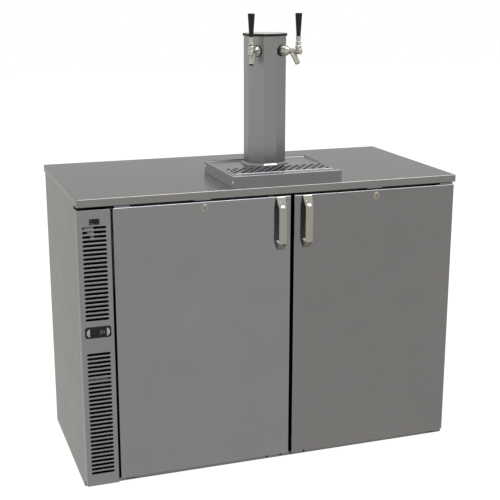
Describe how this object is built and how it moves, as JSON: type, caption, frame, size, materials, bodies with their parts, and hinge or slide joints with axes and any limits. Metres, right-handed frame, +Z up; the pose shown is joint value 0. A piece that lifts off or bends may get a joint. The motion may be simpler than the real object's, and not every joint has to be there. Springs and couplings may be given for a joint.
{
  "type": "draft beer cooler",
  "caption": "Low stainless steel keg cooler with hinged doors, a louvred machine bay, a drip tray with a lift-off grid and a tap column with levers that tip forward.",
  "frame": {"origin": "On the floor, under the middle of the worktop: the point where the middle runner of the base frame rests.", "axes": "+X to the right seen from the front, +Y from the front to the back, +Z up. The doors face -Y."},
  "size_m": [1.2192, 0.6321, 1.42],
  "materials": {
    "steel_top": "satin",
    "steel_door": "polished",
    "steel_side": "satin",
    "steel_tower": "satin",
    "steel_tray": "satin",
    "steel_handle": "satin",
    "chrome": "polished",
    "zinc_steel": "satin",
    "galvanised": "satin",
    "liner": "satin",
    "black_plastic": "satin",
    "black_gloss": "gloss",
    "display_red": "gloss",
    "grey_plastic": "satin",
    "rubber": "matte",
    "hose": "satin",
    "black_paint": "satin",
    "coil": "satin",
    "copper": "satin",
    "cap_pale": "satin"
  },
  "bodies": {
    "cabinet": {"worktop": "steel_top", "left_panel_upper": "steel_side", "left_panel_lower": "steel_side", "right_wall": "liner", "rear_wall": "liner", "bulkhead": "liner", "cabinet_ceiling": "liner", "cabinet_floor": "liner", "base_frame": "zinc_steel", "rear_vent_panel": "zinc_steel", "center_mullion": "black_plastic", "grille_panel": "steel_door", "switch_bezel": "black_plastic", "controller_housing": "black_plastic", "controller_display": "display_red", "compressor": "black_paint", "condenser": "coil", "condenser_fan_frame": "black_plastic", "refrigerant_lines": "copper", "power_inlet": "black_plastic", "evaporator": "liner", "hinge_brackets": "zinc_steel", "lock_strikes": "zinc_steel", "drip_tray": "steel_tray", "drain_tube": "hose", "tower_flange": "steel_tray", "tower_column": "steel_tower", "tower_cap": "cap_pale", "tower_cap_rim": "black_plastic", "tower_screws": "chrome", "tap_gaskets": "rubber", "tap_shanks": "chrome", "beer_lines": "hose", "faucet_left": "chrome", "faucet_right": "chrome", "faucet_bonnets": "chrome"},
    "left_door": {"left_door_skin": "steel_door", "left_door_core": "liner", "left_door_gasket": "rubber", "left_door_handle": "steel_handle", "left_door_lock": "chrome"},
    "right_door": {"right_door_skin": "steel_door", "right_door_core": "liner", "right_door_gasket": "rubber", "right_door_handle": "steel_handle", "right_door_lock": "chrome"},
    "left_lock_plug": {"left_lock_plug": "chrome"},
    "right_lock_plug": {"right_lock_plug": "chrome"},
    "lever_left": {"lever_left": "chrome", "tap_handle_left": "black_plastic"},
    "lever_right": {"lever_right": "chrome", "tap_handle_right": "black_plastic"},
    "button_left": {"controller_button_left": "grey_plastic"},
    "button_right": {"controller_button_right": "grey_plastic"},
    "switch_rocker": {"switch_rocker": "black_gloss"},
    "condenser_fan": {"condenser_fan": "black_plastic"},
    "evaporator_fan": {"evaporator_fan": "black_plastic"},
    "drip_grid": {"drip_grid": "steel_tray"}
  },
  "joints": [
    {"name": "left_door_hinge", "type": "hinge", "parent": "cabinet", "child": "left_door", "pos_m": [-0.4961, -0.2913, 0.458], "axis": [0, 0, -1], "range_deg": [0, 100]},
    {"name": "right_door_hinge", "type": "hinge", "parent": "cabinet", "child": "right_door", "pos_m": [0.5985, -0.2913, 0.458], "axis": [0, 0, 1], "range_deg": [0, 100]},
    {"name": "left_lock_turn", "type": "hinge", "parent": "left_door", "child": "left_lock_plug", "pos_m": [-0.2293, -0.3013, 0.864], "axis": [0, -1, 0], "range_deg": [0, 90]},
    {"name": "right_lock_turn", "type": "hinge", "parent": "right_door", "child": "right_lock_plug", "pos_m": [0.3317, -0.3013, 0.864], "axis": [0, -1, 0], "range_deg": [0, 90]},
    {"name": "lever_left_pull", "type": "hinge", "parent": "cabinet", "child": "lever_left", "pos_m": [-0.04051, -0.17819, 1.318], "axis": [0.8231, -0.5678, 0], "range_deg": [0, 30]},
    {"name": "lever_right_pull", "type": "hinge", "parent": "cabinet", "child": "lever_right", "pos_m": [0.11231, -0.17819, 1.318], "axis": [0.8231, 0.5678, 0], "range_deg": [0, 30]},
    {"name": "controller_button_left_press", "type": "slide", "parent": "cabinet", "child": "button_left", "axis": [0, 1, 0], "range_m": [0, 0.001], "stiffness_N_per_m": 300},
    {"name": "controller_button_right_press", "type": "slide", "parent": "cabinet", "child": "button_right", "axis": [0, 1, 0], "range_m": [0, 0.001], "stiffness_N_per_m": 300},
    {"name": "switch_rocker_tilt", "type": "hinge", "parent": "cabinet", "child": "switch_rocker", "pos_m": [-0.559, -0.2968, 0.847], "axis": [0, 0, 1], "range_deg": [0, 14]},
    {"name": "condenser_fan_spin", "type": "hinge", "parent": "cabinet", "child": "condenser_fan", "pos_m": [-0.5586, -0.1848, 0.2125], "axis": [0, 1, 0], "continuous": true},
    {"name": "evaporator_fan_spin", "type": "hinge", "parent": "cabinet", "child": "evaporator_fan", "pos_m": [0.0512, 0.1352, 0.7879], "axis": [0, 1, 0], "continuous": true},
    {"name": "drip_grid_lift", "type": "slide", "parent": "cabinet", "child": "drip_grid", "axis": [0, 0, 1], "range_m": [0, 0.04]}
  ]
}
